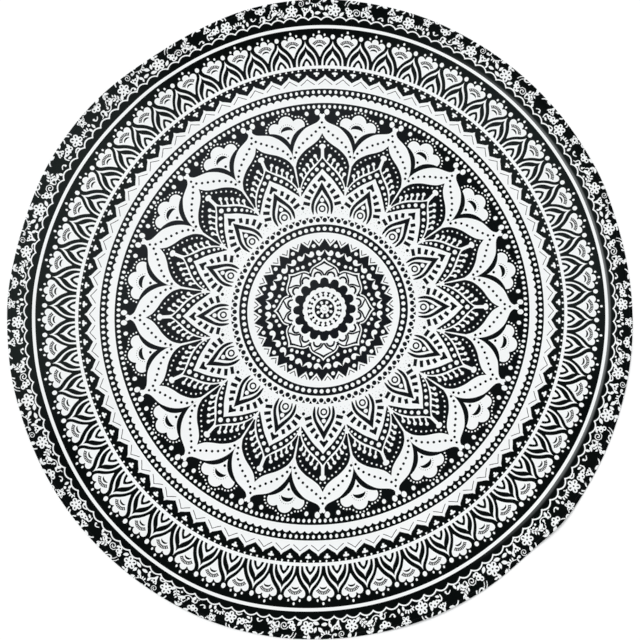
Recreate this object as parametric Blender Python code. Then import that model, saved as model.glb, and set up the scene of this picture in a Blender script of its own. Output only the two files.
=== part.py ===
"""Round beach towel, laid out flat: one sheet of cloth with a turned hem.

Metres, +Z up. The origin is on the surface the towel lies on, at the middle of its
bounding box. Angles run clockwise from +Y, as on a clock face seen from above.
The cloth isn't cut as a true circle: its outline is drawn through the rows of RIM,
and RIPPLES lists the low swells where the cloth stands off the surface near its edge.
"""

import math
from collections import namedtuple

import bmesh
import bpy

# Driving dimensions
CLOTH_THICKNESS = 0.0018
HEM_WIDTH = 0.011          # turned edge, three layers of cloth
HEM_RISE = 0.0009          # how far the hem stands above the cloth
HEM_SLOPE = 0.0016         # width of the step from the cloth up to the hem
EDGE_ROUND = 0.0007        # rounding of the rim itself
SEGMENTS = 144             # points around each ring

# Where the rings lie, as distances in from the rim. Inside the last one the cloth is flat.
RING_INSETS = (0.028, 0.045, 0.065, 0.090, 0.120, 0.155, 0.195, 0.240)

CLOTH_COLOUR = (0.90, 0.92, 0.91, 1.0)
CLOTH_ROUGHNESS = 0.85

# The cut edge: radius from the middle of the print, at a clockwise angle in degrees
Rim = namedtuple("Rim", "angle radius")
RIM = (
    Rim(0, 0.768),
    Rim(15, 0.766),
    Rim(30, 0.763),
    Rim(45, 0.758),
    Rim(60, 0.752),
    Rim(75, 0.744),
    Rim(90, 0.743),
    Rim(105, 0.743),
    Rim(120, 0.746),
    Rim(131, 0.748),
    Rim(139, 0.742),
    Rim(149, 0.748),
    Rim(165, 0.753),
    Rim(180, 0.757),
    Rim(195, 0.760),
    Rim(210, 0.756),
    Rim(225, 0.751),
    Rim(240, 0.745),
    Rim(255, 0.741),
    Rim(270, 0.739),
    Rim(285, 0.736),
    Rim(300, 0.741),
    Rim(313, 0.743),
    Rim(323, 0.739),
    Rim(335, 0.748),
    Rim(347, 0.761),
)

# Low swells that run in from the rim: half their width in degrees, the lift of the cloth
# at the rim, and the radius where they die out
Ripple = namedtuple("Ripple", "angle half_width lift reach")
RIPPLES = (
    Ripple(18, 13, 0.0030, 0.64),
    Ripple(65, 8, 0.0036, 0.58),
    Ripple(100, 12, 0.0022, 0.63),
    Ripple(133, 9, 0.0050, 0.57),
    Ripple(160, 14, 0.0034, 0.61),
    Ripple(204, 13, 0.0026, 0.62),
    Ripple(236, 10, 0.0020, 0.64),
    Ripple(257, 7, 0.0040, 0.56),
    Ripple(273, 7, 0.0036, 0.57),
    Ripple(297, 9, 0.0022, 0.63),
    Ripple(321, 8, 0.0048, 0.57),
    Ripple(346, 11, 0.0026, 0.63),
)


def rim_radius(angle):
    """Radius of the cut edge, on a smooth closed curve through the rows of RIM."""
    angle %= 360
    count = len(RIM)
    index = max(i for i in range(count) if RIM[i].angle <= angle)
    before, start, end, after = (RIM[(index + step) % count] for step in (-1, 0, 1, 2))
    t = (angle - start.angle) / ((end.angle - start.angle) % 360)
    slope_start = (end.radius - before.radius) / 2
    slope_end = (after.radius - start.radius) / 2
    rise = end.radius - start.radius
    return (start.radius + slope_start * t
            + (3 * rise - 2 * slope_start - slope_end) * t ** 2
            + (slope_start + slope_end - 2 * rise) * t ** 3)


def smooth_step(value):
    """0 below 0, 1 above 1, and an even S between."""
    value = min(max(value, 0.0), 1.0)
    return value * value * (3 - 2 * value)


def lift(angle, radius):
    """Height of the cloth's underside above the surface."""
    rim = rim_radius(angle)
    height = 0.0
    for ripple in RIPPLES:
        away = abs((angle - ripple.angle + 180) % 360 - 180) / ripple.half_width
        along = smooth_step((radius - ripple.reach) / (rim - ripple.reach))
        height += ripple.lift * along * smooth_step(1 - away)
    return height


def print_centre():
    """Place of the print's middle that puts the outline's bounding box on the origin."""
    turns = [360 * i / SEGMENTS for i in range(SEGMENTS)]
    across = [rim_radius(turn) * math.sin(math.radians(turn)) for turn in turns]
    along = [rim_radius(turn) * math.cos(math.radians(turn)) for turn in turns]
    return -(min(across) + max(across)) / 2, -(min(along) + max(along)) / 2


def section():
    """Inset from the rim and height above the underside, from the underside's middle out
    to the rim and back over the top."""
    under = [(inset, 0.0) for inset in reversed(RING_INSETS)]
    under.append((HEM_WIDTH, 0.0))
    hem_top = CLOTH_THICKNESS + HEM_RISE
    edge = [
        (EDGE_ROUND, 0.0),
        (0.0, EDGE_ROUND),
        (0.0, hem_top - EDGE_ROUND),
        (EDGE_ROUND, hem_top),
        (HEM_WIDTH - HEM_SLOPE, hem_top),
    ]
    over = [(HEM_WIDTH, CLOTH_THICKNESS)]
    over += [(inset, CLOTH_THICKNESS) for inset in RING_INSETS]
    return under + edge + over


def make_towel():
    """The towel as one closed sheet: a ring of points for each row of the section."""
    centre_x, centre_y = print_centre()
    mesh = bpy.data.meshes.new("towel")
    bm = bmesh.new()
    rings = []
    for inset, height in section():
        ring = []
        for step in range(SEGMENTS):
            angle = 360 * step / SEGMENTS
            radius = rim_radius(angle) - inset
            turn = math.radians(angle)
            x = centre_x + radius * math.sin(turn)
            y = centre_y + radius * math.cos(turn)
            ring.append(bm.verts.new((x, y, height + lift(angle, radius))))
        rings.append(ring)
    for inner, outer in zip(rings, rings[1:]):
        for step in range(SEGMENTS):
            following = (step + 1) % SEGMENTS
            bm.faces.new((inner[step], inner[following], outer[following], outer[step]))
    bm.faces.new(rings[0])
    bm.faces.new(rings[-1])
    bmesh.ops.recalc_face_normals(bm, faces=bm.faces)
    bm.to_mesh(mesh)
    bm.free()
    mesh.shade_smooth()
    mesh.set_sharp_from_angle(angle=math.radians(40))
    towel = bpy.data.objects.new("towel", mesh)
    bpy.context.scene.collection.objects.link(towel)
    return towel


def cloth_material():
    """White printed towelling, matt."""
    material = bpy.data.materials.new("cloth")
    material.use_nodes = True
    shader = material.node_tree.nodes["Principled BSDF"]
    shader.inputs["Base Color"].default_value = CLOTH_COLOUR
    shader.inputs["Roughness"].default_value = CLOTH_ROUGHNESS
    shader.inputs["Metallic"].default_value = 0.0
    return material


def main():
    for item in list(bpy.data.objects):
        bpy.data.objects.remove(item)
    towel = make_towel()
    towel.data.materials.append(cloth_material())


main()
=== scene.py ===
"""Looks of the round beach towel: printed cloth with its hem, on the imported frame.

Metres, +Z up, in the frame of the model. The print itself is planned in millimetres about
its own middle, with angles clockwise from +Y, and is then laid on the cloth.
"""

import math
import random
from collections import namedtuple

import bmesh
import bpy
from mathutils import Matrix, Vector
from mathutils.geometry import delaunay_2d_cdt


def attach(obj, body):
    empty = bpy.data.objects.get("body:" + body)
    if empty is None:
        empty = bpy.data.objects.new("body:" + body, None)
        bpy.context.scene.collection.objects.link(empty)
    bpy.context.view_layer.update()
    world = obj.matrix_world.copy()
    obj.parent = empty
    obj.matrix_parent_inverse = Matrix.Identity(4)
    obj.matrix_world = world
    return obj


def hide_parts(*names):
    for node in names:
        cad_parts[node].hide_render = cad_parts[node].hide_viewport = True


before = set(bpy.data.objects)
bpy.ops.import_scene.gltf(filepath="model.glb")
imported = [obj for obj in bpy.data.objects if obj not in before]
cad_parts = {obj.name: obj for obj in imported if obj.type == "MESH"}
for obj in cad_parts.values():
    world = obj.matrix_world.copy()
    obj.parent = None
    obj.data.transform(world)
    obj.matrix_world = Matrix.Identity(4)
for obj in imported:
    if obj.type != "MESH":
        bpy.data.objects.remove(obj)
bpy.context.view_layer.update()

# The cloth, as in the model's source
CLOTH_THICKNESS = 0.0018
HEM_WIDTH = 0.011
HEM_RISE = 0.0009
HEM_SLOPE = 0.0016
EDGE_ROUND = 0.0007

Rim = namedtuple("Rim", "angle radius")
RIM = (
    Rim(0, 0.768),
    Rim(15, 0.766),
    Rim(30, 0.763),
    Rim(45, 0.758),
    Rim(60, 0.752),
    Rim(75, 0.744),
    Rim(90, 0.743),
    Rim(105, 0.743),
    Rim(120, 0.746),
    Rim(131, 0.748),
    Rim(139, 0.742),
    Rim(149, 0.748),
    Rim(165, 0.753),
    Rim(180, 0.757),
    Rim(195, 0.760),
    Rim(210, 0.756),
    Rim(225, 0.751),
    Rim(240, 0.745),
    Rim(255, 0.741),
    Rim(270, 0.739),
    Rim(285, 0.736),
    Rim(300, 0.741),
    Rim(313, 0.743),
    Rim(323, 0.739),
    Rim(335, 0.748),
    Rim(347, 0.761),
)

Ripple = namedtuple("Ripple", "angle half_width lift reach")
RIPPLES = (
    Ripple(18, 13, 0.0030, 0.64),
    Ripple(65, 8, 0.0036, 0.58),
    Ripple(100, 12, 0.0022, 0.63),
    Ripple(133, 9, 0.0050, 0.57),
    Ripple(160, 14, 0.0034, 0.61),
    Ripple(204, 13, 0.0026, 0.62),
    Ripple(236, 10, 0.0020, 0.64),
    Ripple(257, 7, 0.0040, 0.56),
    Ripple(273, 7, 0.0036, 0.57),
    Ripple(297, 9, 0.0022, 0.63),
    Ripple(321, 8, 0.0048, 0.57),
    Ripple(346, 11, 0.0026, 0.63),
)
CENTRE_STEPS = 144           # turns at which the model's source measures the outline

# How the printed cloth was stretched and twisted when it was laid out, with a row for each
# of the 16 big petals, clockwise from the top: millimetres that the print is moved outwards
# and degrees that it is turned clockwise, first at MID_RADIUS and then at LINE_RADIUS.
# The values were read off enlarged crops of the photo, with a ruler over them.
Pull = namedtuple("Pull", "mid_out mid_turn line_out line_turn")
PULLS = (
    Pull(7.0, 0.75, 13.5, 0.20),
    Pull(6.5, 0.20, 13.0, -0.05),
    Pull(3.0, -0.35, 6.0, -0.15),
    Pull(0.0, -0.25, 0.0, 0.00),
    Pull(-2.0, -0.10, -3.5, 0.25),
    Pull(-6.5, 0.40, -7.5, 0.50),
    Pull(-5.0, 1.25, -10.5, 0.90),
    Pull(-2.0, 1.60, -4.0, 1.40),
    Pull(4.0, 1.55, 7.0, 1.25),
    Pull(11.0, 0.35, 17.5, 0.00),
    Pull(10.0, -1.10, 9.0, -0.85),
    Pull(2.0, -1.60, -4.0, -1.20),
    Pull(-4.0, -1.75, -6.0, -1.10),
    Pull(-8.0, -1.00, -12.0, -0.50),
    Pull(-6.0, 0.20, -12.0, 0.00),
    Pull(1.5, 1.05, 1.5, 0.45),
)
PULL_STEP = 360 / len(PULLS)

EDGE_RADIUS = 750.0          # of the print, millimetres
MID_RADIUS = 390.0           # of the beads on the stems in the big petals
LINE_RADIUS = 685.0          # of its white line ring
RING_CORNERS = 360           # points round each of its larger rings
NUDGE = (1.9, 0.7)           # millimetres that the middle of the print was shifted
NUDGE_REACH = (60.0, 180.0)  # radii between which the shift dies out
INK_SPREAD = 0.5             # how far the ink creeps into the cloth at each edge
INK, CLOTH = 0, 1            # what a shape of the print shows

# How often the rings of the print repeat their motifs, from the edge in
SCALLOP_COUNT = 144
LOTUS_COUNT = 60
DOT_COUNT = 240
TOOTH_COUNT = 80
POINT_COUNT = 180
PETAL_COUNT = 16
BEAD_COUNT = 80
STAR_COUNT = 36
COMMA_COUNT = 18
OGEE_COUNT = 8
PETAL_SLOPE = math.tan(math.radians(180 / PETAL_COUNT))  # of the edge between two petals


# ---- shape kit
# A shape is (ink, points). Points are millimetres: x to the right of the motif's axis,
# y away from the print's middle. Later shapes lie over earlier ones.

def circle(x, y, radius, corners=10, tall=1.0):
    """A round dot, or an oval one where tall isn't 1."""
    turns = [2 * math.pi * (i + 0.5) / corners for i in range(corners)]
    return [(x + radius * math.sin(t), y + tall * radius * math.cos(t)) for t in turns]


def disc(radius, corners=RING_CORNERS):
    """A disc about the print's middle."""
    return circle(0, 0, radius, corners)


def smooth_between(before, start, end, after, t):
    """Value at t, from 0 to 1, on a smooth curve from start to end, with the values before
    and after them."""
    slope_start = (end - before) / 2
    slope_end = (after - start) / 2
    rise = end - start
    return (start + slope_start * t
            + (3 * rise - 2 * slope_start - slope_end) * t ** 2
            + (slope_start + slope_end - 2 * rise) * t ** 3)


def curve(points, steps=3):
    """A smooth line through the points."""
    ends = [points[0]] + list(points) + [points[-1]]
    line = []
    for near in zip(ends, ends[1:], ends[2:], ends[3:]):
        for step in range(steps):
            line.append(tuple(smooth_between(*values, step / steps) for values in zip(*near)))
    line.append(points[-1])
    return line


def whole(half):
    """Closed outline from its right half, which starts and ends on the axis."""
    return half + [(-x, y) for x, y in reversed(half[1:-1])]


def bow(half_width, foot, top, steps=8):
    """Half an ellipse standing on foot, from right to left."""
    turns = [math.pi * i / steps for i in range(steps + 1)]
    return [(half_width * math.cos(t), foot + (top - foot) * math.sin(t)) for t in turns]


def crescent(half_width, foot, top, inner_top, steps=8):
    """A moon lying on its tips."""
    return bow(half_width, foot, top, steps) + bow(half_width, foot, inner_top, steps)[-2:0:-1]


def spot(x, y, radius, turn):
    """Point of a circle at a clockwise angle."""
    return x + radius * math.sin(math.radians(turn)), y + radius * math.cos(math.radians(turn))


def arc(x, y, radius, start, end, steps=8):
    """Part of a circle, between two clockwise angles."""
    return [spot(x, y, radius, start + (end - start) * i / steps) for i in range(steps + 1)]


def stroke(line, width, end_width=None):
    """A line drawn with a pen whose width may change from its start to its end."""
    end_width = width if end_width is None else end_width
    left, right = [], []
    last = len(line) - 1
    for i, (x, y) in enumerate(line):
        x0, y0 = line[max(i - 1, 0)]
        x1, y1 = line[min(i + 1, last)]
        length = math.hypot(x1 - x0, y1 - y0)
        half = (width + (end_width - width) * i / last) / 2
        nx, ny = -(y1 - y0) / length * half, (x1 - x0) / length * half
        left.append((x + nx, y + ny))
        right.append((x - nx, y - ny))
    return left + right[::-1]


def placed(shapes, angle, radius=0.0, size=1.0, spin=0.0):
    """Shapes spun about their own origin, scaled, moved out and turned clockwise."""
    out = []
    a, s = math.radians(angle), math.radians(spin)
    for ink, points in shapes:
        moved = []
        for x, y in points:
            u = size * (x * math.cos(s) + y * math.sin(s))
            v = size * (y * math.cos(s) - x * math.sin(s)) + radius
            moved.append((u * math.cos(a) + v * math.sin(a), v * math.cos(a) - u * math.sin(a)))
        out.append((ink, moved))
    return out


def around(count, start, shapes):
    """A motif repeated round the print."""
    out = []
    for step in range(count):
        out += placed(shapes, start + 360 * step / count)
    return out


def wave_ring(count, start, low, high, steps, form):
    """Closed ring whose radius runs from low to high and back, count times. form turns the
    distance from the low point, 0 to 1, into the share of the rise."""
    points = []
    for i in range(count * steps):
        t = (i % steps) / steps
        radius = low + (high - low) * form(1 - abs(2 * t - 1))
        turn = math.radians(start + 360 * i / (count * steps))
        points.append((radius * math.sin(turn), radius * math.cos(turn)))
    return points


def scallop(t):
    """Round lobes that meet in a sharp cusp."""
    return 1 - (1 - t) ** 2


def both(shape):
    """A shape and its mirror image."""
    ink, points = shape
    return [shape, (ink, [(-x, y) for x, y in points])]


# ---- floral border

def shifted(shapes, x, y, spin=0.0, size=1.0):
    """Shapes spun and scaled about their own origin, then moved."""
    return [(ink, [(px + x, py + y) for px, py in points])
            for ink, points in placed(shapes, 0, 0, size, spin)]


def blossom():
    """Five broad petals, each with a dark drop in it."""
    drop = whole([(0, 6.4), (1.5, 9.2), (1.4, 11.0), (0, 12.0)])
    shapes = [(CLOTH, circle(0, 0, 7.5, 8))]
    for k in range(5):
        shapes += placed([(CLOTH, circle(0, 9.4, 6.6, 10))], 72 * k)
    for k in range(5):
        shapes += placed([(INK, drop)], 72 * k)
    shapes.append((INK, circle(0, 0, 1.7, 6)))
    return shapes


def half_blossom():
    """Three petals of a blossom that is tucked behind something."""
    shapes = []
    for turn in (-62, 0, 62):
        shapes += placed([(CLOTH, circle(0, 8.0, 5.6, 9))], turn)
    for turn in (-62, 0, 62):
        shapes += placed([(INK, circle(0, 8.2, 1.7, 6))], turn)
    shapes.append((CLOTH, circle(0, 1.5, 4.2, 7)))
    return shapes


def star_blossom():
    """Five pointed petals round a dark eye."""
    petal = whole(curve([(0, 0), (4.6, 5.5), (3.6, 10.5), (0, 14.5)], 2))
    vein = whole([(0, 6.0), (1.1, 8.2), (0, 10.4)])
    shapes = []
    for k in range(5):
        shapes += placed([(CLOTH, petal)], 72 * k)
    for k in range(5):
        shapes += placed([(INK, vein)], 72 * k)
    shapes.append((CLOTH, circle(0, 0, 4.4, 8)))
    shapes.append((INK, circle(0, 0, 2.2, 6)))
    return shapes


def leaf():
    """A pointed leaf."""
    return [(CLOTH, whole([(0, -6.2), (2.9, -2.8), (3.5, 0.6), (2.3, 4.2), (0, 7.0)]))]


def leaf_pair():
    """Two leaves from one stalk, with a bud between them."""
    shapes = shifted(leaf(), -4.4, 1.2, -38) + shifted(leaf(), 4.4, 1.2, 38)
    shapes.append((CLOTH, stroke([(0, -8.5), (0, 5.0)], 2.6, 2.2)))
    shapes.append((CLOTH, circle(0, 6.2, 2.3, 7)))
    return shapes


def sprig():
    """A bent stem with pairs of leaves and one at its tip."""
    stem = curve([(0, -13), (1.6, -5), (0.8, 3), (-1.6, 9)], 2)
    shapes = [(CLOTH, stroke(stem, 2.8, 2.2))]
    for x, y, size in ((1.0, -8.5, 0.74), (1.6, -2.0, 0.78), (0.6, 4.0, 0.66)):
        for side in (-1, 1):
            shapes += shifted(leaf(), x + side * 4.3, y + 3.2, side * 54, size)
    return shapes + shifted(leaf(), -2.4, 12.0, -14, 0.74)


def trumpet():
    """A flower seen from the side, widening to a scalloped rim."""
    half = [(0, -10.0), (1.7, -8.4), (4.0, -1.0), (9.6, 5.6), (9.0, 9.4), (5.6, 8.4),
            (3.4, 10.6), (0, 8.8)]
    return [(CLOTH, whole(half)), (INK, circle(0, 3.4, 1.9, 6)),
            (INK, circle(-4.4, 6.0, 1.2, 5)), (INK, circle(4.4, 6.0, 1.2, 5))]


def curl():
    """A spiral tendril."""
    line = []
    for i in range(14):
        t = i / 13
        turn = math.radians(-80 + 560 * t)
        radius = 8.4 * (1 - t) ** 0.9 + 1.0
        line.append((radius * math.sin(turn), radius * math.cos(turn)))
    return [(CLOTH, stroke(line, 2.6, 3.4))]


def frond():
    """A curved stem with short leaves along its outer side."""
    stem = curve([(-13, -3.5), (-6, 1.0), (2, 1.8), (12, -3.0)], 2)
    shapes = [(CLOTH, stroke(stem, 3.0, 2.2))]
    for x, y, lean in ((-9.4, 2.0, -28), (-4.6, 4.6, -14), (0.8, 5.2, 2), (6.0, 3.8, 18)):
        shapes += shifted(leaf(), x, y, lean, 0.66)
    return shapes


def hook():
    """A short tendril that ends in a bud."""
    line = curve([(-5.5, -4), (-1.6, 0.6), (2.6, 1.2), (4.6, -1.6)], 2)
    return [(CLOTH, stroke(line, 2.6, 3.4)), (CLOTH, circle(4.4, -2.4, 2.8, 7))]


def grass():
    """Two thin blades side by side."""
    return [(CLOTH, stroke(curve([(-3.4, -9), (-3.6, -1), (-0.2, 8)], 2), 2.4, 3.0)),
            (CLOTH, stroke(curve([(2.6, -8), (2.4, 0), (6.0, 7)], 2), 2.2, 2.8))]


def bowl():
    """A wide open tendril with a bud at each end."""
    line = arc(0, 3.0, 10.5, 110, 250, 9)
    return [(CLOTH, stroke(line, 3.0)),
            (CLOTH, circle(10.4, 0.8, 3.4, 8)),
            (CLOTH, circle(-10.2, 0.6, 3.0, 7)),
            (CLOTH, circle(0.4, -1.2, 3.2, 7)),
            (CLOTH, stroke([(0.4, -2.0), (2.6, 5.6)], 2.4, 3.0))]


# One repeat of the border. The columns give where the motif's middle lies, in degrees and
# millimetres, its size and spin, and how far from its middle nothing else is added.
Spray = namedtuple("Spray", "motif angle radius size spin room")
SPRAYS = (
    Spray(blossom, 1.8, 724.5, 1.05, 12, 14),
    Spray(half_blossom, 4.3, 719.5, 1.05, 66, 8),
    Spray(grass, 4.4, 744.0, 1.10, 24, 7),
    Spray(curl, 6.2, 721.0, 1.10, 0, 8),
    Spray(sprig, 7.9, 732.0, 1.10, 60, 8),
    Spray(leaf_pair, 8.5, 717.5, 1.10, 10, 8),
    Spray(hook, 11.0, 718.0, 1.20, 10, 11),
    Spray(trumpet, 12.8, 742.5, 1.10, 176, 10),
    Spray(half_blossom, 14.1, 721.5, 1.05, 0, 8),
    Spray(blossom, 16.5, 724.5, 0.98, 40, 14),
    Spray(frond, 18.9, 718.0, 1.10, 4, 7),
    Spray(star_blossom, 19.8, 740.5, 0.90, 150, 12),
    Spray(hook, 22.0, 720.0, 1.20, 190, 11),
    Spray(half_blossom, 23.6, 742.0, 1.10, 176, 10),
    Spray(bowl, 25.0, 720.5, 1.10, 0, 9),
    Spray(leaf_pair, 26.3, 744.5, 1.10, 160, 8),
    Spray(sprig, 27.3, 722.0, 1.05, -34, 8),
    Spray(blossom, 29.6, 724.5, 0.98, 8, 14),
    Spray(curl, 31.5, 741.0, 0.90, 60, 10),
    Spray(trumpet, 32.2, 719.5, 1.15, 14, 10),
    Spray(frond, 34.3, 740.5, 1.05, 172, 9),
    Spray(leaf, 34.6, 717.5, 1.30, 84, 7),
)
SPRAY_REPEATS = 10
BAND_FOOT, BAND_TOP = 712.0, 734.0   # radii between which most fillers lie
FILL_TRIES = 300
FILL_SEED = 5
FILL_LEAST = 2.6             # room that a filler needs at the foot of the band
FILL_MOST = 5.5              # room that it takes where there is more
RIM_SHARE = 0.15             # how many of the fillers the cut edge crosses
BUD_SHARE, LEAF_SHARE, DASH_SHARE = 0.15, 0.45, 0.20


def fillers():
    """Buds and little leaves wherever one repeat of the border has room left."""
    rng = random.Random(FILL_SEED)
    span = 360 / SPRAY_REPEATS
    taken = [(spray.angle, spray.radius, spray.room * spray.size) for spray in SPRAYS]
    shapes = []
    for _ in range(FILL_TRIES):
        angle, spin, choice = rng.uniform(0, span), rng.uniform(0, 360), rng.random()
        radius = rng.triangular(BAND_FOOT, BAND_TOP, BAND_FOOT)
        least = FILL_LEAST
        if rng.random() < RIM_SHARE:
            radius = rng.uniform(EDGE_RADIUS - 5, EDGE_RADIUS + 1)
        else:
            least += (radius - BAND_FOOT) / 14
        room = FILL_MOST
        for other, out, size in taken:
            apart = (angle - other + span / 2) % span - span / 2
            room = min(room, math.hypot(math.radians(apart) * radius, radius - out) - size)
        if room < least:
            continue
        taken.append((angle, radius, room * 0.95))
        if choice < BUD_SHARE:
            motif = [(CLOTH, circle(0, 0, 3.0, 7))]
        elif choice < BUD_SHARE + LEAF_SHARE:
            motif = leaf()
        elif choice < BUD_SHARE + LEAF_SHARE + DASH_SHARE:
            motif = [(CLOTH, stroke([(-2.6, -4.5), (-1.0, 1.0), (2.6, 5.0)], 2.6, 3.2))]
        else:
            motif = hook()
        shapes += placed(motif, angle, radius, room / 4.0, spin)
    return shapes


def border():
    """Dense blossoms, leaves and tendrils on the black edge."""
    repeat = fillers()
    for spray in SPRAYS:
        repeat += placed(spray.motif(), spray.angle, spray.radius, spray.size, spray.spin)
    return around(SPRAY_REPEATS, 0, repeat)


# ---- rings, from the edge in

def scalloped_edge():
    """Black scallops with a white outline, and the white line ring inside them."""
    turn = 1.8
    return [
        (CLOTH, wave_ring(SCALLOP_COUNT, turn, 704.0, 710.4, 6, scallop)),
        (INK, wave_ring(SCALLOP_COUNT, turn, 698.2, 706.2, 6, scallop)),
        (CLOTH, disc(688.6)),
        (INK, disc(679.9)),
    ]


def cup_flower():
    """A white flower in a cup, between two petals of the lotus band."""
    side = curve([(0, 608.6), (2.0, 612.0), (6.7, 621.7), (14.5, 632.4), (23.2, 641.6),
                  (26.0, 649.0)], 2)
    shapes = [
        (CLOTH, whole(side + [(18, 655.0), (0, 655.0)])),
        (CLOTH, circle(0, 656.3, 8.9, 12)),
    ]
    shapes += both((CLOTH, circle(17.2, 650.0, 8.8, 12)))
    shapes.append((CLOTH, circle(0, 671.3, 3.3, 9, 1.22)))
    shapes += both((CLOTH, circle(13.6, 664.0, 3.0, 9, 1.25)))
    shapes.append((INK, crescent(8.4, 633.0, 639.8, 636.4, 6)))
    middle = 631.0
    hatched = (13.8, 20.0)
    for radius in hatched:
        shapes.append((INK, stroke(arc(0, middle, radius, -58, 58, 6), 0.7)))
    for turn in range(-52, 53, 13):
        line = [spot(0, middle, radius, turn) for radius in hatched]
        shapes.append((INK, stroke(line, 1.9)))
    return shapes


def lotus_petal():
    """Nested pointed arches, white and black, with a dot over the tip."""
    foot = 587.0
    outer = curve([(0, 651.5), (1.9, 643.6), (6.4, 635.7), (13.2, 627.9), (19.0, 619.8),
                   (23.5, 610.7), (26.4, 601.4), (27.6, foot)], 2)
    dark = curve([(0, 636.8), (3.4, 629.6), (10.2, 622.8), (16.4, 615.0), (20.0, 606.9),
                  (21.6, 598.8), (21.6, foot)], 2)
    inner = curve([(0, 625.0), (3.0, 617.1), (8.1, 610.4), (13.0, 603.6), (16.4, 596.6),
                   (18.0, foot)], 2)
    arch = curve([(0, 607.0), (3.2, 604.6), (7.4, 599.2), (10.5, 593.4), (12.2, foot)], 2)
    hollow = curve([(0, 600.6), (2.6, 598.6), (5.1, 594.0), (7.3, foot)], 2)
    nested = ((CLOTH, outer), (INK, dark), (CLOTH, inner), (INK, arch), (CLOTH, hollow))
    shapes = [(ink, whole(half + [(0, foot)])) for ink, half in nested]
    shapes.append((CLOTH, circle(0, 659.2, 5.7, 12, 1.14)))
    return shapes


def lotus_band():
    """Lotus petals over cup flowers, and the white ring at their feet."""
    return (around(LOTUS_COUNT, 4.81, cup_flower())
            + around(LOTUS_COUNT, 1.71, lotus_petal())
            + [(CLOTH, disc(588.4))])


def spire(t):
    """A tooth with steep feet, a slanting shoulder and a pointed tip."""
    foot = 0.30 * min(t / 0.35, 1)
    shoulder = 0.27 * min(max((t - 0.35) / 0.35, 0), 1)
    return foot + shoulder + 0.43 * max((t - 0.7) / 0.3, 0) ** 1.5


def trefoil():
    """Three round lobes, one of them pointing inwards."""
    half = [(0, 559.8), (2.4, 560.8), (3.3, 563.2), (3.0, 565.0), (5.6, 565.2), (7.9, 568.0),
            (6.6, 571.0), (3.4, 571.0), (0, 572.2)]
    return [(CLOTH, whole(half))]


def tooth_band():
    """Black teeth that point inwards, each with a white trefoil, under a row of white pins."""
    turn = 2.2
    pin = [(CLOTH, whole([(0, 574.0), (2.4, 575.2), (2.8, 577.6), (1.9, 579.4), (1.9, 582.0)]))]
    line = [(-16.6, 540.9), (-8.0, 547.3), (0, 554.4), (8.0, 547.3), (16.6, 540.9)]
    shapes = [(INK, disc(579.8))]
    shapes += around(DOT_COUNT, 1.0, pin)
    shapes.append((CLOTH, wave_ring(TOOTH_COUNT, turn, 548.8, 566.7, 10, spire)))
    shapes += around(TOOTH_COUNT, turn + 0.14, trefoil())
    zigzag = [(INK, stroke(line, 1.1)), (INK, circle(0, 553.6, 1.1, 5))]
    shapes += around(TOOTH_COUNT, turn + 2.25, zigzag)
    return shapes


def dotted_ring():
    """Black ring with white dots and a fringe of small points inside."""
    return ([(INK, disc(530.2))]
            + around(DOT_COUNT, 1.26, [(CLOTH, circle(0, 522.6, 4.3, 8, 1.2))])
            + [(CLOTH, wave_ring(POINT_COUNT, 1.66, 509.8, 515.4, 6, scallop))])


def ground():
    """Black ground under the big petals, with white dots along its edge."""
    dot = (CLOTH, circle(0, 486.6, 4.3, 8, 1.2))
    return [(INK, disc(495.2))] + around(DOT_COUNT, 1.14, [dot])


def cloud():
    """A lobed white flower between the tips of two big petals."""
    low = curve([(0, 401.4), (4.2, 411.4), (11.6, 422.2), (22.0, 430.8), (33.8, 436.2),
                 (43.2, 438.6)], 2)
    shapes = both((CLOTH, circle(54.6, 467.6, 5.5, 10, 1.1)))
    shapes.append((CLOTH, whole(low[:-1] + arc(29.4, 445.2, 15.8, 116, -36, 8) + [(0, 458)])))
    shapes.append((CLOTH, circle(0, 454.6, 18.9, 20)))
    for turn in (10, 30, 50):
        shapes += both((CLOTH, circle(*spot(0, 454.4, 25.0, turn), 2.7, 7)))
    for turn in (-2, 16, 34, 53, 71, 88):
        shapes += both((CLOTH, circle(*spot(27.4, 442.3, 24.0, turn), 2.7, 7)))
    shapes += shifted([(INK, crescent(14.6, 434.4, 447.2, 438.9, 10))], -1.6, 0)
    for turn in range(-80, 81, 16):
        shapes.append((INK, circle(*spot(-1.6, 433.4, 19.0, turn), 0.85, 5)))
    shapes.append((INK, circle(-1.8, 419.5, 2.9, 8)))
    return shapes


def big_petal_band():
    """White band of a big petal, with a curled tip."""
    side = curve([(5.2, 462.0), (6.2, 456.8), (10.4, 451.2), (16.9, 447.0), (28.9, 441.6),
                  (37.6, 437.2), (46.2, 430.8), (57.8, 417.8), (65.6, 404.3), (70.6, 391.0),
                  (72.8, 380.0), (73.8, 370.0)], 2)
    foot = [(y * PETAL_SLOPE + 1.2, y) for y in (300, 255)] + [(0, 250)]
    shapes = [(CLOTH, whole([(0, 468.0)] + side + foot))]
    shapes += both((CLOTH, circle(11.8, 473.4, 6.8, 12, 1.16)))
    shapes.append((CLOTH, whole([(0, 458), (5.6, 460), (8.4, 467), (4.4, 471), (0, 468.5)])))
    return shapes


# Middles of the dots on the right half of a big petal
Dot = namedtuple("Dot", "x y")
BAND_DOTS = (
    Dot(5.6, 435.6), Dot(15.4, 425.9), Dot(26.0, 416.9), Dot(36.9, 408.3),
    Dot(47.1, 398.6), Dot(56.8, 387.6), Dot(63.9, 375.8), Dot(67.0, 363.6),
)
INNER_DOTS = (
    Dot(5.3, 401.2), Dot(13.9, 392.2), Dot(22.2, 385.0), Dot(31.4, 377.4),
    Dot(40.2, 369.2), Dot(48.1, 359.5), Dot(53.4, 349.2), Dot(56.2, 338.0),
)


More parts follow.
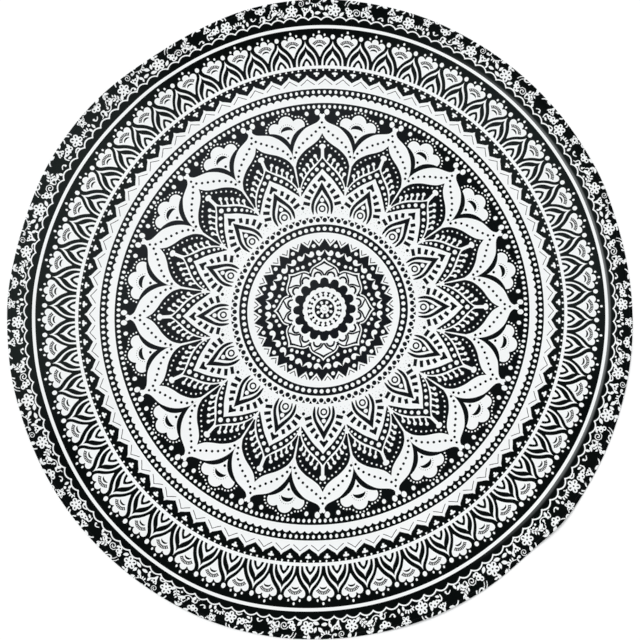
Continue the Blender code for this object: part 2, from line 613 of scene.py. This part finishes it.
def big_petal_heart():
    """Black inside of a big petal, with its rows of dots."""
    side = curve([(0, 421.0), (8.6, 406.6), (22.6, 394.3), (38.6, 383.1), (51.9, 369.8),
                  (60.4, 356.7), (64.6, 341.0)])
    foot = [(62.0, 325), (58.9, 308), (57.0, 292), (0, 270)]
    shapes = [(INK, whole(side + foot))]
    shapes.append((INK, circle(0, 448.0, 2.6, 7)))
    for dot in BAND_DOTS:
        shapes += both((INK, circle(dot.x, dot.y, 2.8, 7)))
    for dot in INNER_DOTS:
        shapes += both((CLOTH, circle(dot.x, dot.y, 2.9, 7)))
    shapes.append((CLOTH, circle(0, 411.8, 2.3, 6)))
    return shapes


# Middles of the pins' round heads
PINS = (Dot(17.9, 366.7), Dot(27.6, 356.2), Dot(37.1, 345.5), Dot(45.2, 334.0), Dot(52.2, 321.8))


def lotus_outline():
    """White outline of the inner lotus, with a stem, a bead and pins."""
    side = curve([(4.2, 374), (4.4, 366.0), (6.4, 359.5), (13.3, 351.4), (25.2, 340.7),
                  (36.2, 329.3), (45.3, 316.2), (51.4, 302.4), (54.6, 288.1), (55.2, 266.0)])
    shapes = [(CLOTH, whole([(0, 390), (4.4, 389)] + side + [(0, 255)]))]
    shapes.append((CLOTH, circle(0, 389.6, 8.4, 14, 0.82)))
    for pin in PINS:
        foot = (pin.x - 7.0, pin.y - 13.0)
        shapes += both((CLOTH, circle(pin.x, pin.y, 5.0, 9)))
        shapes += both((CLOTH, stroke([pin, foot], 4.4, 5.4)))
    return shapes


Bead = namedtuple("Bead", "x y radius")
LOTUS_BEADS = (
    Bead(13.8, 333.8, 5.4), Bead(24.6, 321.8, 5.0), Bead(34.3, 309.8, 4.4),
    Bead(41.8, 299.6, 3.9), Bead(46.9, 290.6, 3.2), Bead(50.4, 282.4, 2.5),
)


def lotus_heart():
    """Black band of the inner lotus with white beads."""
    side = curve([(0, 360.4), (9.6, 349.0), (19.0, 338.6), (30.0, 328.0), (39.5, 315.6),
                  (46.7, 302.6), (50.9, 289.3), (51.8, 271.0)])
    shapes = [(INK, whole(side + [(0, 255)]))]
    shapes.append((CLOTH, circle(0, 344.8, 6.2, 11)))
    for bead in LOTUS_BEADS:
        shapes += both((CLOTH, circle(bead.x, bead.y, bead.radius, 9)))
    return shapes


def white_field():
    """White field round a teardrop."""
    side = curve([(0, 336.2), (8.6, 326.2), (19.0, 316.0), (27.4, 306.0), (34.8, 295.7),
                  (41.4, 285.7), (47.4, 276.7), (53.6, 267.6)], 2)
    return [(CLOTH, whole(side + [(215 * PETAL_SLOPE + 1.2, 215), (0, 214)]))]


# Dashes that ray out from a teardrop: middle, length and lean in degrees
Dash = namedtuple("Dash", "x y length lean")
DASHES = (
    Dash(17.1, 294.2, 10.5, 34),
    Dash(25.9, 280.8, 12.5, 50),
    Dash(34.9, 267.0, 14.5, 65),
    Dash(37.4, 251.8, 15.5, 76),
)


def teardrop():
    """Teardrop with an eye, and the dashes that ray out from it."""
    outer = curve([(0, 302.4), (7.1, 289.0), (16.2, 272.6), (23.6, 257.1), (26.2, 244.0),
                   (24.8, 233.3), (22.2, 226.4)], 2)
    field = curve([(0, 285.0), (6.0, 275.0), (14.4, 262.6), (18.8, 252.2), (20.3, 242.9),
                   (20.6, 233.3), (21.2, 225.6)], 2)
    inner = curve([(0, 272.6), (5.7, 263.4), (12.2, 252.6), (16.0, 243.0), (15.4, 234.0),
                   (12.6, 227.4)], 2)
    core = curve([(0, 254.0), (6.0, 251.8), (10.6, 246.4), (12.6, 239.6), (12.2, 233.0),
                  (11.4, 226.6)], 2)
    cap = [(0, 320.6), (4.4, 314.6), (9.8, 308.0), (10.0, 306.4), (6.8, 303.6), (3.6, 306.6),
           (0, 308.0)]
    shapes = [
        (INK, whole(outer + [(0, 228.4)])),
        (CLOTH, whole(field + [(0, 225.2)])),
        (INK, whole(inner + [(0, 229.2)])),
        (CLOTH, whole(core + [(0, 226.2)])),
        (CLOTH, circle(0, 259.8, 5.6, 10)),
        (INK, circle(0, 239.0, 8.0, 14)),
        (CLOTH, circle(0, 239.0, 5.4, 12)),
        (INK, whole(cap)),
    ]
    for dash in DASHES:
        lean = math.radians(dash.lean)
        dx, dy = dash.length / 2 * math.sin(lean), dash.length / 2 * math.cos(lean)
        line = [(dash.x - dx, dash.y - dy), (dash.x + dx, dash.y + dy)]
        shapes += both((INK, stroke(line, 7.4, 6.8)))
    return shapes


def stipple():
    """Faint dots on the white between two teardrops."""
    shapes = [(INK, circle(0, 245.6, 3.5, 9))]
    for x, y in ((0, 236), (4.5, 231.5), (9.5, 238), (14.5, 231), (2.5, 252), (8, 246), (13, 243)):
        shapes.append((INK, circle(x, y, 0.6, 4)))
        shapes.append((INK, circle(-x - 0.8, y + 1.4, 0.6, 4)))
    return shapes


def sixteenfold():
    """Everything that stands on the sixteen axes of the big petals, or between two of them."""
    turn = -1.15
    shapes = around(PETAL_COUNT, turn + 11.36, cloud())
    shapes += around(PETAL_COUNT, turn + 0.11, big_petal_band())
    shapes += around(PETAL_COUNT, turn - 0.02, big_petal_heart())
    shapes += around(PETAL_COUNT, turn - 0.02, lotus_outline())
    shapes += around(PETAL_COUNT, turn - 0.05, lotus_heart())
    shapes += around(PETAL_COUNT, turn - 0.13, white_field())
    shapes += around(PETAL_COUNT, turn - 0.43, teardrop())
    shapes += around(PETAL_COUNT, turn + 11.0, stipple())
    return shapes


# ---- middle rings

def bead_rings():
    """Black dots, then a black ring with white dots."""
    small = [(-3.2, 220.2), (3.2, 220.2), (0, 214.0)]
    shapes = [(CLOTH, disc(222.0, 240))]
    shapes += around(BEAD_COUNT, 2.25, [(INK, small)])
    shapes += around(BEAD_COUNT, 0.0, [(INK, circle(0, 212.3, 5.0, 10))])
    shapes.append((INK, disc(201.2, 240)))
    shapes += around(BEAD_COUNT, -0.05, [(CLOTH, circle(0, 191.3, 5.5, 10))])
    shapes.append((CLOTH, disc(182.6, 240)))
    return shapes


def star_ring():
    """Black star of 36 points, with its thin outline, dots and pairs of commas."""
    star = wave_ring(STAR_COUNT, 5.1, 148.8, 167.0, 2, lambda t: t)
    vee = [(-7.4, 166.4), (-3.8, 161.6), (0, 157.2), (3.8, 161.6), (7.4, 166.4)]
    comma = curve([(-0.2, 142.6), (1.6, 136.2), (4.9, 130.2), (9.7, 126.2), (14.7, 125.6),
                   (19.6, 128.3), (21.4, 133.3), (19.6, 138.2), (15.3, 140.0), (11.7, 138.4),
                   (9.6, 135.4), (7.1, 136.0), (4.2, 139.0), (-0.2, 142.6)], 2)[:-1]
    shapes = [(INK, star)]
    shapes += around(STAR_COUNT, 5.1, [(INK, stroke(vee, 1.5)), (INK, circle(0, 157.6, 1.2, 5))])
    shapes += around(COMMA_COUNT, 10.1, [(CLOTH, circle(0, 152.1, 5.2, 10))])
    shapes += around(COMMA_COUNT, 0.1, both((CLOTH, comma)))
    dots = []
    for x, y in ((11.7, 119.7), (23.8, 113.8), (34.6, 106.8)):
        dots += both((CLOTH, circle(x, y, 4.7, 9)))
    shapes += around(OGEE_COUNT, -0.6, dots)
    return shapes


def ogee_petals():
    """Eight pointed petals in double outline, each with a leaf shape over two arches."""
    turn = -0.6
    outline = curve([(0, 121.6), (7.1, 113.6), (17.9, 107.4), (27.4, 101.4), (33.3, 95.0),
                     (36.4, 86.0)], 2)
    line = curve([(0, 114.0), (7.1, 108.4), (17.9, 102.4), (26.0, 97.9), (30.9, 90.8),
                  (33.5, 81.0)], 2)
    field = curve([(0, 108.8), (6.2, 105.2), (18.0, 99.8), (24.4, 96.2), (28.4, 90.4),
                   (31.6, 79.0)], 2)
    shapes = []
    for ink, half in ((CLOTH, outline), (INK, line), (CLOTH, field)):
        shapes += around(OGEE_COUNT, turn, [(ink, whole(half + [(0, 74)]))])
    shapes.append((CLOTH, disc(84.0, 96)))
    vein = curve([(22.8, 97.6), (17.0, 94.2), (11.3, 91.8), (6.6, 88.6), (3.2, 84.0),
                  (0.8, 79.6)], 2)
    shapes += around(OGEE_COUNT, turn, both((INK, stroke(vein, 2.4, 3.4))))
    arch = curve([(0, 90.6), (5.6, 89.0), (9.4, 84.4), (10.9, 78.0)])
    hollow = curve([(0, 87.0), (3.9, 85.6), (6.8, 81.9), (8.1, 76.0)])
    for ink, half in ((INK, arch), (CLOTH, hollow)):
        shapes += around(2 * OGEE_COUNT, 10.55, [(ink, whole(half + [(0, 74)]))])
    shapes.append((CLOTH, disc(80.0, 96)))
    return shapes


def rosette():
    """Lobed black ring, scalloped white disc, beads, and a small flower in the middle."""
    knob = curve([(0, 74.5), (5.4, 72.8), (8.6, 69.2), (9.6, 65.0), (10.2, 61.6),
                  (12.0, 59.6)], 2)
    shapes = around(2 * OGEE_COUNT, -0.85, [(INK, whole(knob + [(0, 50)]))])
    shapes.append((INK, disc(59.8, 60)))
    shapes.append((CLOTH, wave_ring(COMMA_COUNT, -5.8, 50.2, 53.0, 8, scallop)))
    knot = [(-3.8, 40.2), (0, 40.8), (3.8, 40.2), (1.3, 36.8), (0.9, 35.0), (-0.9, 35.0),
            (-1.3, 36.8)]
    shapes += around(COMMA_COUNT, -5.8, [(INK, knot), (INK, circle(0, 32.4, 2.5, 7))])
    shapes.append((INK, disc(23.3, 40)))
    petal = [(CLOTH, circle(0, 16.8, 4.1, 10)), (CLOTH, stroke([(0, 9), (0, 15)], 5.5))]
    shapes += around(OGEE_COUNT, 19.4, petal)
    shapes.append((CLOTH, disc(10.4, 16)))
    shapes += around(OGEE_COUNT, 19.4, [(INK, stroke([(2.6, 11.4), (-0.9, 12.4)], 2.2, 1.2))])
    shapes.append((INK, stroke(arc(0, 0, 4.2, 0, 280, 9), 0.5)))
    return shapes


def whole_print():
    """All shapes of the print, from the border in."""
    bands = (border, scalloped_edge, lotus_band, tooth_band, dotted_ring, ground, sixteenfold,
             bead_rings, star_ring, ogee_petals, rosette)
    shapes = []
    for band in bands:
        shapes += band()
    return shapes


# ---- the cloth

def smooth_step(value):
    """0 below 0, 1 above 1, and an even S between."""
    value = min(max(value, 0.0), 1.0)
    return value * value * (3 - 2 * value)


def rim_radius(angle):
    """Radius of the cut edge, on a smooth closed curve through the rows of RIM."""
    angle %= 360
    count = len(RIM)
    index = max(i for i in range(count) if RIM[i].angle <= angle)
    start, end = RIM[index], RIM[(index + 1) % count]
    t = (angle - start.angle) / ((end.angle - start.angle) % 360)
    return smooth_between(*(RIM[(index + step) % count].radius for step in (-1, 0, 1, 2)), t)


def lift(angle, radius):
    """Height of the cloth's underside above the surface."""
    rim = rim_radius(angle)
    height = 0.0
    for ripple in RIPPLES:
        away = abs((angle - ripple.angle + 180) % 360 - 180) / ripple.half_width
        along = smooth_step((radius - ripple.reach) / (rim - ripple.reach))
        height += ripple.lift * along * smooth_step(1 - away)
    return height


def blend(start, end, share):
    """Values a share of the way from start to end."""
    return tuple(a + (b - a) * share for a, b in zip(start, end))


def pull_at(angle, radius):
    """Outward move and turn of the print at a place, on smooth closed curves through PULLS."""
    place = angle % 360 / PULL_STEP
    index = int(place)
    rows = [PULLS[(index + step) % len(PULLS)] for step in (-1, 0, 1, 2)]
    mid_out, mid_turn, line_out, line_turn = (
        smooth_between(*values, place - index) for values in zip(*rows))
    if radius < MID_RADIUS:
        return mid_out * radius / MID_RADIUS, mid_turn
    share = min((radius - MID_RADIUS) / (LINE_RADIUS - MID_RADIUS), 1)
    return blend((mid_out, mid_turn), (line_out, line_turn), share)


def lay(x, y):
    """Angle and radius, in degrees and metres, where a point of the print lies on the cloth."""
    near = 1 - smooth_step((math.hypot(x, y) - NUDGE_REACH[0]) / (NUDGE_REACH[1] - NUDGE_REACH[0]))
    x += NUDGE[0] * near
    y += NUDGE[1] * near
    radius = math.hypot(x, y)
    angle = math.degrees(math.atan2(x, y))
    angle += pull_at(angle + pull_at(angle, radius)[1], radius)[1]
    out = pull_at(angle, radius)[0]
    if radius <= LINE_RADIUS:
        return angle, (radius + out) / 1000
    line = (LINE_RADIUS + out) / 1000
    share = (radius - LINE_RADIUS) / (EDGE_RADIUS - LINE_RADIUS)
    return angle, line + (rim_radius(angle) - line) * share


def print_centre():
    """Place of the print's middle that puts the outline's bounding box on the origin."""
    turns = [360 * i / CENTRE_STEPS for i in range(CENTRE_STEPS)]
    across = [rim_radius(turn) * math.sin(math.radians(turn)) for turn in turns]
    along = [rim_radius(turn) * math.cos(math.radians(turn)) for turn in turns]
    return Vector((-(min(across) + max(across)) / 2, -(min(along) + max(along)) / 2, 0))


CENTRE = print_centre()


def top_height(angle, radius):
    """Height of the cloth's upper side, with the step up to the hem."""
    inset = rim_radius(angle) - radius
    hem = smooth_step((HEM_WIDTH - inset) / HEM_SLOPE)
    round_off = EDGE_ROUND * max(0.0, 1 - inset / EDGE_ROUND) ** 2
    return CLOTH_THICKNESS + HEM_RISE * hem - round_off + lift(angle, radius)


def at(angle, radius, height):
    """Point in the model's frame."""
    turn = math.radians(angle)
    return CENTRE + Vector((radius * math.sin(turn), radius * math.cos(turn), height))


# ---- cutting the print

Cut = namedtuple("Cut", "points faces inks")
HEM_RINGS = (0.0, 0.8, 9.6, 11.2)   # where the hem has rings of points, millimetres inwards
SHARPEST = 0.25                     # keeps the corners of grown shapes from shooting out
TRIANGLES_INSIDE = 1                # what the cutting gives back
SAME_POINT = 1e-4                   # points nearer than this become one, millimetres


def area_of(outline):
    """Area inside an outline, below zero where it runs clockwise."""
    following = outline[1:] + outline[:1]
    return sum(x0 * y1 - x1 * y0 for (x0, y0), (x1, y1) in zip(outline, following)) / 2


def grown(outline, amount):
    """An outline that runs anticlockwise, with its edges moved outwards by amount, or by
    less where the shape is too thin for that."""
    following = outline[1:] + outline[:1]
    length = sum(math.dist(a, b) for a, b in zip(outline, following))
    thin = 0.5 * area_of(outline) / length
    amount = min(max(amount, -thin), thin)
    moved = []
    for i, ((x1, y1), (x2, y2)) in enumerate(zip(outline, following)):
        x0, y0 = outline[i - 1]
        into = math.hypot(x1 - x0, y1 - y0)
        away = math.hypot(x2 - x1, y2 - y1)
        across = ((y1 - y0) / into + (y2 - y1) / away, -(x1 - x0) / into - (x2 - x1) / away)
        bend = ((x1 - x0) * (x2 - x1) + (y1 - y0) * (y2 - y1)) / (into * away)
        reach = amount / max(1 + bend, SHARPEST)
        moved.append((x1 + across[0] * reach, y1 + across[1] * reach))
    return moved


def cut_print():
    """The flat print as triangles, each with the ink of the last shape drawn over it."""
    shapes = [(INK, disc(EDGE_RADIUS - inset)) for inset in HEM_RINGS]
    shapes += whole_print()
    points, outlines = [], []
    for ink, outline in shapes:
        if area_of(outline) <= 0:
            outline = outline[::-1]
        if len(outlines) >= len(HEM_RINGS):
            outline = grown(outline, INK_SPREAD if ink == INK else -INK_SPREAD)
        outlines.append(list(range(len(points), len(points) + len(outline))))
        points += [Vector(point) for point in outline]
    points, _, faces, _, _, owners = delaunay_2d_cdt(
        points, [], outlines, TRIANGLES_INSIDE, SAME_POINT, True)
    kept = [(face, shapes[max(owner)][0]) for face, owner in zip(faces, owners) if 0 in owner]
    return Cut(points, [face for face, _ in kept], [ink for _, ink in kept])


# ---- the towel's mesh

UNDER_INSETS = (0.0, EDGE_ROUND, HEM_WIDTH, 0.065, 0.120, 0.195)
SHARP_ANGLE = math.radians(50)
WHITE_SLOT, INK_SLOT, BACK_SLOT = 0, 1, 2


def towel_mesh(cut):
    """One closed sheet: the printed top, the rim and the plain underside."""
    mesh = bpy.data.meshes.new("towel")
    tops, places = [], []
    for point in cut.points:
        angle, radius = lay(point.x, point.y)
        tops.append(at(angle, radius, top_height(angle, radius)))
        places.append((point.x, point.y, 0))
    mesh.from_pydata(tops, [], cut.faces)
    slots = [WHITE_SLOT if ink == CLOTH else INK_SLOT for ink in cut.inks]
    mesh.polygons.foreach_set("material_index", slots)
    place = mesh.attributes.new("print_place", "FLOAT_VECTOR", "POINT")
    place.data.foreach_set("vector", [value for row in places for value in row])
    add_underside(mesh)
    return mesh


def add_underside(mesh):
    """Extrudes the top's outer edge round the rim and back to the middle underneath."""
    bm = bmesh.new()
    bm.from_mesh(mesh)
    edges = [edge for edge in bm.edges if edge.is_boundary]
    for step, inset in enumerate(UNDER_INSETS):
        made = bmesh.ops.extrude_edge_only(bm, edges=edges)["geom"]
        edges = [item for item in made if isinstance(item, bmesh.types.BMEdge) and item.is_boundary]
        for vert in {vert for edge in edges for vert in edge.verts}:
            offset = vert.co - CENTRE
            angle = math.degrees(math.atan2(offset.x, offset.y))
            radius = rim_radius(angle) - inset
            height = EDGE_ROUND if step == 0 else 0.0
            vert.co = at(angle, radius, height + lift(angle, radius))
        for item in made:
            if isinstance(item, bmesh.types.BMFace):
                item.material_index = INK_SLOT if step == 0 else BACK_SLOT
    bmesh.ops.delete(bm, geom=[vert for vert in bm.verts if not vert.link_faces], context="VERTS")
    middle = bmesh.ops.contextual_create(bm, geom=edges)["faces"]
    for face in middle:
        face.material_index = BACK_SLOT
    bmesh.ops.triangulate(bm, faces=middle)
    bmesh.ops.recalc_face_normals(bm, faces=bm.faces)
    bm.to_mesh(mesh)
    bm.free()
    mesh.shade_smooth()
    mesh.set_sharp_from_angle(angle=SHARP_ANGLE)


# Where each side of the sheet lies in the square of the bake map, and its scale for a metre
Side = namedtuple("Side", "middle scale")
TOP_SIDE = Side(0.5, 0.5 / 0.79)
BACK_SIDE = Side(0.07, 0.08)


def add_bake_map(mesh):
    """Flat layout for the whole sheet: the top fills the square, the underside a corner."""
    layer = mesh.uv_layers.new(name="OFBake")
    for polygon in mesh.polygons:
        side = BACK_SIDE if polygon.material_index == BACK_SLOT else TOP_SIDE
        for loop in polygon.loop_indices:
            co = mesh.vertices[mesh.loops[loop].vertex_index].co
            layer.data[loop].uv = (side.middle + co.x * side.scale,
                                   side.middle + co.y * side.scale)


# ---- materials

# How each cloth looks: the two colours of its broad soft patches, and that of its specks
Look = namedtuple("Look", "name colours speck roughness specular")
WHITE_LOOK = Look("cloth_white", ((0.815, 0.832, 0.830), (0.850, 0.862, 0.860)),
                  (0.76, 0.78, 0.78), 0.9, 0.15)
INK_LOOK = Look("cloth_ink", ((0.0014, 0.0024, 0.0024), (0.0024, 0.0036, 0.0034)),
                (0.016, 0.018, 0.018), 0.9, 0.02)
BACK_LOOK = Look("cloth_back", ((0.80, 0.82, 0.80), (0.84, 0.86, 0.84)),
                 (0.74, 0.76, 0.74), 0.9, 0.15)
THREAD_LOOK = Look("thread", ((0.006, 0.006, 0.009), (0.008, 0.008, 0.012)),
                   (0.03, 0.03, 0.036), 0.6, 0.3)

# Scales of the towelling's surface, in features for each metre
LOOP_SCALE = 560.0
SPECK_SCALE = 900.0
NAP_SCALE = 46.0
PATCH_SCALE = 5.0

ALL_ROUND = (-3.0, -2.0)     # no cosine is as low, so a paler patch is full in every direction

# Where the ink is drawn paler: broad tints of the black, and painted sheen where light falls
# across the cloth. Columns: the clockwise angle of its middle, the cosines of the turn away
# from there where it has gone and where it is full, a radius in the print in mm, the
# distances from that radius where it has gone and is full, and the colour
Fade = namedtuple("Fade", "angle facing radius away colour")
INK_TINTS_AND_SHEEN = (
    Fade(0, ALL_ROUND, 0.0, (600.0, 100.0), (0.0085, 0.0100, 0.0125)),
    Fade(318, (0.05, 0.95), 200.0, (475.0, 285.0), (0.0155, 0.0175, 0.0200)),
    Fade(287, (0.70, 0.97), 700.0, (300.0, 60.0), (0.0125, 0.0160, 0.0155)),
    # painted sheen: greyer black on the upper right, for light falling across the cloth
    Fade(58, (0.60, 0.97), 620.0, (130.0, 40.0), (0.0100, 0.0130, 0.0130)),
    # painted sheen: grey on the outer side of the white line ring, for light on the cloth's raised
    # edge
    Fade(86, (0.42, 0.96), 689.0, (8.0, 0.0), (0.16, 0.17, 0.17)),
)


def principled(name):
    """A new material, its node tree and its shader."""
    material = bpy.data.materials.new(name)
    material.use_nodes = True
    tree = material.node_tree
    return material, tree, tree.nodes["Principled BSDF"]


def node(tree, kind, **inputs):
    """A new node with its inputs set by name, underscores standing for spaces."""
    made = tree.nodes.new(kind)
    for name, value in inputs.items():
        made.inputs[name.replace("_", " ")].default_value = value
    return made


def joined(tree, kind, operation, *values, result="Value"):
    """The named output of a maths node on the given numbers, vectors or outputs."""
    made = tree.nodes.new(kind)
    made.operation = operation
    for socket, value in zip(made.inputs, values):
        if isinstance(value, bpy.types.NodeSocket):
            tree.links.new(value, socket)
        else:
            socket.default_value = value
    return made.outputs[result]


def eased(tree, value, none, full):
    """0 where the value is none, 1 where it is full, and an even S between."""
    made = node(tree, "ShaderNodeMapRange", From_Min=none, From_Max=full)
    made.interpolation_type = "SMOOTHSTEP"
    tree.links.new(value, made.inputs["Value"])
    return made.outputs["Result"]


def mixed(tree, share, colour, other):
    """The colour of an output, mixed towards another one by a share."""
    made = tree.nodes.new("ShaderNodeMix")
    made.data_type = "RGBA"
    tree.links.new(share, made.inputs["Factor"])
    tree.links.new(colour, made.inputs["A"])
    made.inputs["B"].default_value = (*other, 1)
    return made.outputs["Result"]


def with_tints_and_sheen(tree, colour):
    """The ink's colour, with its paler tints and its painted sheen."""
    place = tree.nodes.new("ShaderNodeAttribute")
    place.attribute_name = "print_place"
    flat = place.outputs["Vector"]
    radius = joined(tree, "ShaderNodeVectorMath", "LENGTH", flat)
    heading = joined(tree, "ShaderNodeVectorMath", "NORMALIZE", flat, result="Vector")
    # each row mixes in a paler tint of the black or a painted sheen
    for paling in INK_TINTS_AND_SHEEN:
        turn = math.radians(paling.angle)
        middle = (math.sin(turn), math.cos(turn), 0)
        facing = joined(tree, "ShaderNodeVectorMath", "DOT_PRODUCT", heading, middle)
        offset = joined(tree, "ShaderNodeMath", "SUBTRACT", radius, paling.radius)
        away = joined(tree, "ShaderNodeMath", "ABSOLUTE", offset)
        share = joined(tree, "ShaderNodeMath", "MULTIPLY",
                       eased(tree, facing, *paling.facing), eased(tree, away, *paling.away))
        colour = mixed(tree, share, colour, paling.colour)
    return colour


def cloth_colour(tree, place, look):
    """Colour of towelling: broad soft patches with fine specks."""
    link = tree.links.new
    broad = node(tree, "ShaderNodeTexNoise", Scale=PATCH_SCALE, Detail=2.0)
    link(place, broad.inputs["Vector"])
    fine = node(tree, "ShaderNodeTexNoise", Scale=SPECK_SCALE, Detail=1.0)
    link(place, fine.inputs["Vector"])
    ramp = tree.nodes.new("ShaderNodeValToRGB")
    for stop, position, colour in zip(ramp.color_ramp.elements, (0.3, 0.7), look.colours):
        stop.position = position
        stop.color = (*colour, 1)
    link(broad.outputs["Fac"], ramp.inputs["Fac"])
    specks = node(tree, "ShaderNodeMapRange", From_Min=0.62, From_Max=0.80, To_Max=0.35)
    link(fine.outputs["Fac"], specks.inputs["Value"])
    return mixed(tree, specks.outputs["Result"], ramp.outputs["Color"], look.speck)


def towelling_bump(tree, place):
    """Normal of towelling: short loops and a soft uneven nap."""
    link = tree.links.new
    loops = node(tree, "ShaderNodeTexVoronoi", Scale=LOOP_SCALE, Randomness=0.55)
    link(place, loops.inputs["Vector"])
    nap = node(tree, "ShaderNodeTexNoise", Scale=NAP_SCALE, Detail=3.0, Roughness=0.6)
    link(place, nap.inputs["Vector"])
    weave = node(tree, "ShaderNodeBump", Strength=0.35, Distance=0.0006)
    link(loops.outputs["Distance"], weave.inputs["Height"])
    soft = node(tree, "ShaderNodeBump", Strength=0.25, Distance=0.002)
    link(nap.outputs["Fac"], soft.inputs["Height"])
    link(weave.outputs["Normal"], soft.inputs["Normal"])
    return soft.outputs["Normal"]


def cloth_material(look, tints_and_sheen=False):
    """Matt towelling, with the ink's paler tints and its painted sheen if asked for."""
    material, tree, shader = principled(look.name)
    place = tree.nodes.new("ShaderNodeTexCoord").outputs["Object"]
    colour = cloth_colour(tree, place, look)
    if tints_and_sheen:
        colour = with_tints_and_sheen(tree, colour)
    tree.links.new(colour, shader.inputs["Base Color"])
    tree.links.new(towelling_bump(tree, place), shader.inputs["Normal"])
    shader.inputs["Roughness"].default_value = look.roughness
    shader.inputs["Specular IOR Level"].default_value = look.specular
    return material


def floor_material():
    """The plain white ground of the photo."""
    material, tree, shader = principled("floor_white")
    noise = node(tree, "ShaderNodeTexNoise", Scale=3.0)
    bump = node(tree, "ShaderNodeBump", Strength=0.02, Distance=0.001)
    tree.links.new(noise.outputs["Fac"], bump.inputs["Height"])
    tree.links.new(bump.outputs["Normal"], shader.inputs["Normal"])
    shader.inputs["Base Color"].default_value = (0.95, 0.95, 0.95, 1)
    shader.inputs["Roughness"].default_value = 0.9
    shader.inputs["Specular IOR Level"].default_value = 0.1
    return material


# ---- hem stitching

STITCH_INSET = 0.0082        # from the rim
STITCH_PITCH = 0.0034
STITCH_LENGTH = 0.0025
STITCH_WIDTH = 0.0007
STITCH_HEIGHT = 0.0004


def add_stitch(bm, start, end, up):
    """One short thread, sunk into the cloth at both ends and rounded over."""
    along = (end - start).normalized()
    side = along.cross(up).normalized()
    rows = []
    for share, rise, half in ((0, -0.5, 0.35), (0.25, 0.8, 0.5), (0.75, 0.8, 0.5), (1, -0.5, 0.35)):
        middle = start.lerp(end, share) + up * STITCH_HEIGHT * rise
        wide = side * STITCH_WIDTH * half
        low = up * -STITCH_HEIGHT * 0.6
        rows.append([bm.verts.new(middle - wide + low), bm.verts.new(middle - wide * 0.5),
                     bm.verts.new(middle + wide * 0.5), bm.verts.new(middle + wide + low)])
    for near, far in zip(rows, rows[1:]):
        for left in range(4):
            right = (left + 1) % 4
            bm.faces.new((near[left], near[right], far[right], far[left]))
    bm.faces.new(rows[0])
    bm.faces.new(rows[-1])


def hem_stitches():
    """A row of stitches all along the inside of the hem."""
    bm = bmesh.new()
    around_rim = 2 * math.pi * sum(row.radius for row in RIM) / len(RIM)
    count = round(around_rim / STITCH_PITCH)
    for i in range(count):
        ends = []
        for share in (i, i + STITCH_LENGTH / STITCH_PITCH):
            angle = 360 * share / count
            radius = rim_radius(angle) - STITCH_INSET
            ends.append(at(angle, radius, top_height(angle, radius)))
        add_stitch(bm, ends[0], ends[1], Vector((0, 0, 1)))
    bmesh.ops.recalc_face_normals(bm, faces=bm.faces)
    mesh = bpy.data.meshes.new("hem_stitches")
    bm.to_mesh(mesh)
    bm.free()
    mesh.shade_smooth()
    stitches = bpy.data.objects.new("hem_stitches", mesh)
    bpy.context.scene.collection.objects.link(stitches)
    return stitches


# ---- the scene

FLOOR_SIZE = 40
FLOOR_DROP = 0.0002          # keeps the floor and the towel's underside apart
SKY_COLOUR = (0.98, 0.99, 1.0, 1)
SKY_STRENGTH = 0.66
SUN_STRENGTH = 1.9
SUN_WIDTH = 28               # degrees, for soft shadows
SUN_TILT = (-32, -30)        # degrees about X and about Y
LENS, SENSOR = 50, 36
CAMERA_PLACE = Vector((-0.0963, -0.2424, 2.0921))   # from the middle of the print
CAMERA_TILT = (5.931, -2.399)                       # degrees about X and about Y


def tilted(item, degrees):
    """Turns an object about X and then about Y."""
    item.rotation_euler = (math.radians(degrees[0]), math.radians(degrees[1]), 0)


def make_towel():
    """The printed cloth, its materials in the order of their slots."""
    mesh = towel_mesh(cut_print())
    add_bake_map(mesh)
    towel = bpy.data.objects.new("towel_cloth", mesh)
    bpy.context.scene.collection.objects.link(towel)
    mesh.materials.append(cloth_material(WHITE_LOOK))
    # the ink gets its paler tints and its painted sheen
    mesh.materials.append(cloth_material(INK_LOOK, tints_and_sheen=True))
    mesh.materials.append(cloth_material(BACK_LOOK))
    return towel


def add_floor():
    """The white ground, which belongs to the photo and not to the towel."""
    bpy.ops.mesh.primitive_plane_add(size=FLOOR_SIZE, location=(0, 0, -FLOOR_DROP))
    floor = bpy.context.object
    floor.name = "floor"
    floor.data.materials.append(floor_material())


def add_lights():
    """Even light from all round, and a broad soft sun for the shadows at the rim."""
    world = bpy.data.worlds.new("studio")
    bpy.context.scene.world = world
    world.use_nodes = True
    background = world.node_tree.nodes["Background"]
    background.inputs["Color"].default_value = SKY_COLOUR
    background.inputs["Strength"].default_value = SKY_STRENGTH
    sun = bpy.data.lights.new("key", "SUN")
    sun.energy = SUN_STRENGTH
    sun.angle = math.radians(SUN_WIDTH)
    key = bpy.data.objects.new("key", sun)
    tilted(key, SUN_TILT)
    bpy.context.scene.collection.objects.link(key)


def add_camera():
    """The photo's camera, almost straight above."""
    data = bpy.data.cameras.new("camera")
    data.lens = LENS
    data.sensor_width = SENSOR
    camera = bpy.data.objects.new("camera", data)
    camera.location = CENTRE + CAMERA_PLACE
    tilted(camera, CAMERA_TILT)
    bpy.context.scene.collection.objects.link(camera)
    bpy.context.scene.camera = camera


def main():
    """Builds the scene and hangs the towel and its stitches on the root body."""
    add_camera()
    add_lights()
    add_floor()
    bpy.context.scene.view_settings.view_transform = "Standard"
    towel = make_towel()
    stitches = hem_stitches()
    stitches.data.materials.append(cloth_material(THREAD_LOOK))
    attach(towel, "root")
    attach(stitches, "root")
    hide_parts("towel")


main()
